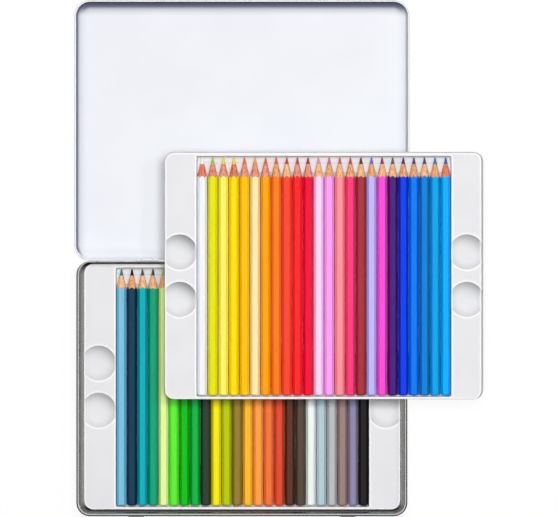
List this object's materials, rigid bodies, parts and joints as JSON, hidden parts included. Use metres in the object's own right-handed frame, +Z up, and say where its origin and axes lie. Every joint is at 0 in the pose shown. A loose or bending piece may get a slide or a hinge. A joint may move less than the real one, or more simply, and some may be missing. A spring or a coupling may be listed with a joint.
{
  "type": "colored pencil tin",
  "caption": "Flat hinged tin with stacked lift-out trays of hexagonal colored pencils, opened flat with the top tray laid across the hinge.",
  "frame": {"origin": "centre of the base's underside, on the surface that the tin lies on", "axes": "+X across the pencils to the right, +Y along the pencils towards the hinge and the open lid, +Z up"},
  "size_m": [0.3012, 0.3811, 0.0301],
  "materials": {
    "tinplate": "bare tinplate, rolled grain, satin",
    "lid_enamel": "white enamel on tinplate, semi-gloss",
    "hinge_wire": "drawn steel wire",
    "tray_plastic": "white thermoformed sheet, satin",
    "bare_wood": "sharpened cedar, matt",
    "upper_paint_01_white": "white lacquer on wood, gloss",
    "upper_paint_02_lemon": "lemon lacquer on wood, gloss",
    "upper_paint_03_light_yellow": "light yellow lacquer on wood, gloss",
    "upper_paint_04_yellow": "yellow lacquer on wood, gloss",
    "upper_paint_05_golden_yellow": "golden yellow lacquer on wood, gloss",
    "upper_paint_06_cream": "cream lacquer on wood, gloss",
    "upper_paint_07_light_orange": "light orange lacquer on wood, gloss",
    "upper_paint_08_orange": "orange lacquer on wood, gloss",
    "upper_paint_09_vermilion": "vermilion lacquer on wood, gloss",
    "upper_paint_10_red": "red lacquer on wood, gloss",
    "upper_paint_11_crimson": "crimson lacquer on wood, gloss",
    "upper_paint_12_light_pink": "light pink lacquer on wood, gloss",
    "upper_paint_13_orchid_pink": "orchid pink lacquer on wood, gloss",
    "upper_paint_14_salmon": "salmon lacquer on wood, gloss",
    "upper_paint_15_raspberry": "raspberry lacquer on wood, gloss",
    "upper_paint_16_maroon": "maroon lacquer on wood, gloss",
    "upper_paint_17_lavender": "lavender lacquer on wood, gloss",
    "upper_paint_18_magenta": "magenta lacquer on wood, gloss",
    "upper_paint_19_violet": "violet lacquer on wood, gloss",
    "upper_paint_20_ultramarine": "ultramarine lacquer on wood, gloss",
    "upper_paint_21_blue": "blue lacquer on wood, gloss",
    "upper_paint_22_cerulean": "cerulean lacquer on wood, gloss",
    "upper_paint_23_azure": "azure lacquer on wood, gloss",
    "upper_paint_24_sky_blue": "sky blue lacquer on wood, gloss",
    "lower_paint_01_light_blue": "light blue lacquer on wood, gloss",
    "lower_paint_02_navy": "navy lacquer on wood, gloss",
    "lower_paint_03_turquoise": "turquoise lacquer on wood, gloss",
    "lower_paint_04_sea_green": "sea green lacquer on wood, gloss",
    "lower_paint_05_pale_green": "pale green lacquer on wood, gloss",
    "lower_paint_06_bright_green": "bright green lacquer on wood, gloss",
    "lower_paint_07_leaf_green": "leaf green lacquer on wood, gloss",
    "lower_paint_08_green": "green lacquer on wood, gloss",
    "lower_paint_09_black_green": "black green lacquer on wood, gloss",
    "lower_paint_10_strong_yellow": "strong yellow lacquer on wood, gloss",
    "lower_paint_11_olive_lime": "olive lime lacquer on wood, gloss",
    "lower_paint_12_olive_brown": "olive brown lacquer on wood, gloss",
    "lower_paint_13_amber": "amber lacquer on wood, gloss",
    "lower_paint_14_deep_orange": "deep orange lacquer on wood, gloss",
    "lower_paint_15_coral": "coral lacquer on wood, gloss",
    "lower_paint_16_brick_red": "brick red lacquer on wood, gloss",
    "lower_paint_17_brown": "brown lacquer on wood, gloss",
    "lower_paint_18_dark_brown": "dark brown lacquer on wood, gloss",
    "lower_paint_19_mint_white": "mint white lacquer on wood, gloss",
    "lower_paint_20_blue_grey": "blue grey lacquer on wood, gloss",
    "lower_paint_21_grey": "grey lacquer on wood, gloss",
    "lower_paint_22_mauve_brown": "mauve brown lacquer on wood, gloss",
    "lower_paint_23_purple_grey": "purple grey lacquer on wood, gloss",
    "lower_paint_24_black": "black lacquer on wood, gloss"
  },
  "bodies": {
    "base": {"base_shell": "tinplate", "hinge_pin_left": "hinge_wire", "hinge_pin_right": "hinge_wire"},
    "lid": {"lid_shell": "lid_enamel"},
    "lower_tray": {"lower_tray": "tray_plastic"},
    "upper_tray": {"upper_tray": "tray_plastic"},
    "upper_pencil_01_white": {"upper_pencil_01_white": "upper_paint_01_white"},
    "upper_pencil_02_lemon": {"upper_pencil_02_lemon": "upper_paint_02_lemon"},
    "upper_pencil_03_light_yellow": {"upper_pencil_03_light_yellow": "upper_paint_03_light_yellow"},
    "upper_pencil_04_yellow": {"upper_pencil_04_yellow": "upper_paint_04_yellow"},
    "upper_pencil_05_golden_yellow": {"upper_pencil_05_golden_yellow": "upper_paint_05_golden_yellow"},
    "upper_pencil_06_cream": {"upper_pencil_06_cream": "upper_paint_06_cream"},
    "upper_pencil_07_light_orange": {"upper_pencil_07_light_orange": "upper_paint_07_light_orange"},
    "upper_pencil_08_orange": {"upper_pencil_08_orange": "upper_paint_08_orange"},
    "upper_pencil_09_vermilion": {"upper_pencil_09_vermilion": "upper_paint_09_vermilion"},
    "upper_pencil_10_red": {"upper_pencil_10_red": "upper_paint_10_red"},
    "upper_pencil_11_crimson": {"upper_pencil_11_crimson": "upper_paint_11_crimson"},
    "upper_pencil_12_light_pink": {"upper_pencil_12_light_pink": "upper_paint_12_light_pink"},
    "upper_pencil_13_orchid_pink": {"upper_pencil_13_orchid_pink": "upper_paint_13_orchid_pink"},
    "upper_pencil_14_salmon": {"upper_pencil_14_salmon": "upper_paint_14_salmon"},
    "upper_pencil_15_raspberry": {"upper_pencil_15_raspberry": "upper_paint_15_raspberry"},
    "upper_pencil_16_maroon": {"upper_pencil_16_maroon": "upper_paint_16_maroon"},
    "upper_pencil_17_lavender": {"upper_pencil_17_lavender": "upper_paint_17_lavender"},
    "upper_pencil_18_magenta": {"upper_pencil_18_magenta": "upper_paint_18_magenta"},
    "upper_pencil_19_violet": {"upper_pencil_19_violet": "upper_paint_19_violet"},
    "upper_pencil_20_ultramarine": {"upper_pencil_20_ultramarine": "upper_paint_20_ultramarine"},
    "upper_pencil_21_blue": {"upper_pencil_21_blue": "upper_paint_21_blue"},
    "upper_pencil_22_cerulean": {"upper_pencil_22_cerulean": "upper_paint_22_cerulean"},
    "upper_pencil_23_azure": {"upper_pencil_23_azure": "upper_paint_23_azure"},
    "upper_pencil_24_sky_blue": {"upper_pencil_24_sky_blue": "upper_paint_24_sky_blue"},
    "lower_pencil_01_light_blue": {"lower_pencil_01_light_blue": "lower_paint_01_light_blue"},
    "lower_pencil_02_navy": {"lower_pencil_02_navy": "lower_paint_02_navy"},
    "lower_pencil_03_turquoise": {"lower_pencil_03_turquoise": "lower_paint_03_turquoise"},
    "lower_pencil_04_sea_green": {"lower_pencil_04_sea_green": "lower_paint_04_sea_green"},
    "lower_pencil_05_pale_green": {"lower_pencil_05_pale_green": "lower_paint_05_pale_green"},
    "lower_pencil_06_bright_green": {"lower_pencil_06_bright_green": "lower_paint_06_bright_green"},
    "lower_pencil_07_leaf_green": {"lower_pencil_07_leaf_green": "lower_paint_07_leaf_green"},
    "lower_pencil_08_green": {"lower_pencil_08_green": "lower_paint_08_green"},
    "lower_pencil_09_black_green": {"lower_pencil_09_black_green": "lower_paint_09_black_green"},
    "lower_pencil_10_strong_yellow": {"lower_pencil_10_strong_yellow": "lower_paint_10_strong_yellow"},
    "lower_pencil_11_olive_lime": {"lower_pencil_11_olive_lime": "lower_paint_11_olive_lime"},
    "lower_pencil_12_olive_brown": {"lower_pencil_12_olive_brown": "lower_paint_12_olive_brown"},
    "lower_pencil_13_amber": {"lower_pencil_13_amber": "lower_paint_13_amber"},
    "lower_pencil_14_deep_orange": {"lower_pencil_14_deep_orange": "lower_paint_14_deep_orange"},
    "lower_pencil_15_coral": {"lower_pencil_15_coral": "lower_paint_15_coral"},
    "lower_pencil_16_brick_red": {"lower_pencil_16_brick_red": "lower_paint_16_brick_red"},
    "lower_pencil_17_brown": {"lower_pencil_17_brown": "lower_paint_17_brown"},
    "lower_pencil_18_dark_brown": {"lower_pencil_18_dark_brown": "lower_paint_18_dark_brown"},
    "lower_pencil_19_mint_white": {"lower_pencil_19_mint_white": "lower_paint_19_mint_white"},
    "lower_pencil_20_blue_grey": {"lower_pencil_20_blue_grey": "lower_paint_20_blue_grey"},
    "lower_pencil_21_grey": {"lower_pencil_21_grey": "lower_paint_21_grey"},
    "lower_pencil_22_mauve_brown": {"lower_pencil_22_mauve_brown": "lower_paint_22_mauve_brown"},
    "lower_pencil_23_purple_grey": {"lower_pencil_23_purple_grey": "lower_paint_23_purple_grey"},
    "lower_pencil_24_black": {"lower_pencil_24_black": "lower_paint_24_black"}
  },
  "joints": [
    {"name": "lid_hinge", "type": "hinge", "parent": "base", "child": "lid", "pos_m": [0, 0.095, 0.0109], "axis": [-1, 0, 0], "range_deg": [-180, 0]},
    {"name": "lower_tray_lift", "type": "slide", "parent": "base", "child": "lower_tray", "axis": [0, 0, -1], "range_m": [-0.008, 0]},
    {"name": "upper_tray_carry", "type": "hinge", "parent": "lid", "child": "upper_tray", "pos_m": [0, 0.245, 0.0211], "axis": [-1, 0, 0], "range_deg": [0, 180]},
    {"name": "lift_upper_pencil_01_white", "type": "slide", "parent": "upper_tray", "child": "upper_pencil_01_white", "axis": [0, 0, 1], "range_m": [0, 0.04]},
    {"name": "lift_upper_pencil_02_lemon", "type": "slide", "parent": "upper_tray", "child": "upper_pencil_02_lemon", "axis": [0, 0, 1], "range_m": [0, 0.04]},
    {"name": "lift_upper_pencil_03_light_yellow", "type": "slide", "parent": "upper_tray", "child": "upper_pencil_03_light_yellow", "axis": [0, 0, 1], "range_m": [0, 0.04]},
    {"name": "lift_upper_pencil_04_yellow", "type": "slide", "parent": "upper_tray", "child": "upper_pencil_04_yellow", "axis": [0, 0, 1], "range_m": [0, 0.04]},
    {"name": "lift_upper_pencil_05_golden_yellow", "type": "slide", "parent": "upper_tray", "child": "upper_pencil_05_golden_yellow", "axis": [0, 0, 1], "range_m": [0, 0.04]},
    {"name": "lift_upper_pencil_06_cream", "type": "slide", "parent": "upper_tray", "child": "upper_pencil_06_cream", "axis": [0, 0, 1], "range_m": [0, 0.04]},
    {"name": "lift_upper_pencil_07_light_orange", "type": "slide", "parent": "upper_tray", "child": "upper_pencil_07_light_orange", "axis": [0, 0, 1], "range_m": [0, 0.04]},
    {"name": "lift_upper_pencil_08_orange", "type": "slide", "parent": "upper_tray", "child": "upper_pencil_08_orange", "axis": [0, 0, 1], "range_m": [0, 0.04]},
    {"name": "lift_upper_pencil_09_vermilion", "type": "slide", "parent": "upper_tray", "child": "upper_pencil_09_vermilion", "axis": [0, 0, 1], "range_m": [0, 0.04]},
    {"name": "lift_upper_pencil_10_red", "type": "slide", "parent": "upper_tray", "child": "upper_pencil_10_red", "axis": [0, 0, 1], "range_m": [0, 0.04]},
    {"name": "lift_upper_pencil_11_crimson", "type": "slide", "parent": "upper_tray", "child": "upper_pencil_11_crimson", "axis": [0, 0, 1], "range_m": [0, 0.04]},
    {"name": "lift_upper_pencil_12_light_pink", "type": "slide", "parent": "upper_tray", "child": "upper_pencil_12_light_pink", "axis": [0, 0, 1], "range_m": [0, 0.04]},
    {"name": "lift_upper_pencil_13_orchid_pink", "type": "slide", "parent": "upper_tray", "child": "upper_pencil_13_orchid_pink", "axis": [0, 0, 1], "range_m": [0, 0.04]},
    {"name": "lift_upper_pencil_14_salmon", "type": "slide", "parent": "upper_tray", "child": "upper_pencil_14_salmon", "axis": [0, 0, 1], "range_m": [0, 0.04]},
    {"name": "lift_upper_pencil_15_raspberry", "type": "slide", "parent": "upper_tray", "child": "upper_pencil_15_raspberry", "axis": [0, 0, 1], "range_m": [0, 0.04]},
    {"name": "lift_upper_pencil_16_maroon", "type": "slide", "parent": "upper_tray", "child": "upper_pencil_16_maroon", "axis": [0, 0, 1], "range_m": [0, 0.04]},
    {"name": "lift_upper_pencil_17_lavender", "type": "slide", "parent": "upper_tray", "child": "upper_pencil_17_lavender", "axis": [0, 0, 1], "range_m": [0, 0.04]},
    {"name": "lift_upper_pencil_18_magenta", "type": "slide", "parent": "upper_tray", "child": "upper_pencil_18_magenta", "axis": [0, 0, 1], "range_m": [0, 0.04]},
    {"name": "lift_upper_pencil_19_violet", "type": "slide", "parent": "upper_tray", "child": "upper_pencil_19_violet", "axis": [0, 0, 1], "range_m": [0, 0.04]},
    {"name": "lift_upper_pencil_20_ultramarine", "type": "slide", "parent": "upper_tray", "child": "upper_pencil_20_ultramarine", "axis": [0, 0, 1], "range_m": [0, 0.04]},
    {"name": "lift_upper_pencil_21_blue", "type": "slide", "parent": "upper_tray", "child": "upper_pencil_21_blue", "axis": [0, 0, 1], "range_m": [0, 0.04]},
    {"name": "lift_upper_pencil_22_cerulean", "type": "slide", "parent": "upper_tray", "child": "upper_pencil_22_cerulean", "axis": [0, 0, 1], "range_m": [0, 0.04]},
    {"name": "lift_upper_pencil_23_azure", "type": "slide", "parent": "upper_tray", "child": "upper_pencil_23_azure", "axis": [0, 0, 1], "range_m": [0, 0.04]},
    {"name": "lift_upper_pencil_24_sky_blue", "type": "slide", "parent": "upper_tray", "child": "upper_pencil_24_sky_blue", "axis": [0, 0, 1], "range_m": [0, 0.04]},
    {"name": "lift_lower_pencil_01_light_blue", "type": "slide", "parent": "lower_tray", "child": "lower_pencil_01_light_blue", "axis": [0, 0, 1], "range_m": [0, 0.04]},
    {"name": "lift_lower_pencil_02_navy", "type": "slide", "parent": "lower_tray", "child": "lower_pencil_02_navy", "axis": [0, 0, 1], "range_m": [0, 0.04]},
    {"name": "lift_lower_pencil_03_turquoise", "type": "slide", "parent": "lower_tray", "child": "lower_pencil_03_turquoise", "axis": [0, 0, 1], "range_m": [0, 0.04]},
    {"name": "lift_lower_pencil_04_sea_green", "type": "slide", "parent": "lower_tray", "child": "lower_pencil_04_sea_green", "axis": [0, 0, 1], "range_m": [0, 0.04]},
    {"name": "lift_lower_pencil_05_pale_green", "type": "slide", "parent": "lower_tray", "child": "lower_pencil_05_pale_green", "axis": [0, 0, 1], "range_m": [0, 0.01]},
    {"name": "lift_lower_pencil_06_bright_green", "type": "slide", "parent": "lower_tray", "child": "lower_pencil_06_bright_green", "axis": [0, 0, 1], "range_m": [0, 0.01]},
    {"name": "lift_lower_pencil_07_leaf_green", "type": "slide", "parent": "lower_tray", "child": "lower_pencil_07_leaf_green", "axis": [0, 0, 1], "range_m": [0, 0.01]},
    {"name": "lift_lower_pencil_08_green", "type": "slide", "parent": "lower_tray", "child": "lower_pencil_08_green", "axis": [0, 0, 1], "range_m": [0, 0.01]},
    {"name": "lift_lower_pencil_09_black_green", "type": "slide", "parent": "lower_tray", "child": "lower_pencil_09_black_green", "axis": [0, 0, 1], "range_m": [0, 0.01]},
    {"name": "lift_lower_pencil_10_strong_yellow", "type": "slide", "parent": "lower_tray", "child": "lower_pencil_10_strong_yellow", "axis": [0, 0, 1], "range_m": [0, 0.01]},
    {"name": "lift_lower_pencil_11_olive_lime", "type": "slide", "parent": "lower_tray", "child": "lower_pencil_11_olive_lime", "axis": [0, 0, 1], "range_m": [0, 0.01]},
    {"name": "lift_lower_pencil_12_olive_brown", "type": "slide", "parent": "lower_tray", "child": "lower_pencil_12_olive_brown", "axis": [0, 0, 1], "range_m": [0, 0.01]},
    {"name": "lift_lower_pencil_13_amber", "type": "slide", "parent": "lower_tray", "child": "lower_pencil_13_amber", "axis": [0, 0, 1], "range_m": [0, 0.01]},
    {"name": "lift_lower_pencil_14_deep_orange", "type": "slide", "parent": "lower_tray", "child": "lower_pencil_14_deep_orange", "axis": [0, 0, 1], "range_m": [0, 0.01]},
    {"name": "lift_lower_pencil_15_coral", "type": "slide", "parent": "lower_tray", "child": "lower_pencil_15_coral", "axis": [0, 0, 1], "range_m": [0, 0.01]},
    {"name": "lift_lower_pencil_16_brick_red", "type": "slide", "parent": "lower_tray", "child": "lower_pencil_16_brick_red", "axis": [0, 0, 1], "range_m": [0, 0.01]},
    {"name": "lift_lower_pencil_17_brown", "type": "slide", "parent": "lower_tray", "child": "lower_pencil_17_brown", "axis": [0, 0, 1], "range_m": [0, 0.01]},
    {"name": "lift_lower_pencil_18_dark_brown", "type": "slide", "parent": "lower_tray", "child": "lower_pencil_18_dark_brown", "axis": [0, 0, 1], "range_m": [0, 0.01]},
    {"name": "lift_lower_pencil_19_mint_white", "type": "slide", "parent": "lower_tray", "child": "lower_pencil_19_mint_white", "axis": [0, 0, 1], "range_m": [0, 0.01]},
    {"name": "lift_lower_pencil_20_blue_grey", "type": "slide", "parent": "lower_tray", "child": "lower_pencil_20_blue_grey", "axis": [0, 0, 1], "range_m": [0, 0.01]},
    {"name": "lift_lower_pencil_21_grey", "type": "slide", "parent": "lower_tray", "child": "lower_pencil_21_grey", "axis": [0, 0, 1], "range_m": [0, 0.01]},
    {"name": "lift_lower_pencil_22_mauve_brown", "type": "slide", "parent": "lower_tray", "child": "lower_pencil_22_mauve_brown", "axis": [0, 0, 1], "range_m": [0, 0.01]},
    {"name": "lift_lower_pencil_23_purple_grey", "type": "slide", "parent": "lower_tray", "child": "lower_pencil_23_purple_grey", "axis": [0, 0, 1], "range_m": [0, 0.01]},
    {"name": "lift_lower_pencil_24_black", "type": "slide", "parent": "lower_tray", "child": "lower_pencil_24_black", "axis": [0, 0, 1], "range_m": [0, 0.01]}
  ],
  "couplings": [
    {"joint": "upper_tray_carry", "follows": "lid_hinge", "ratio": -1}
  ]
}
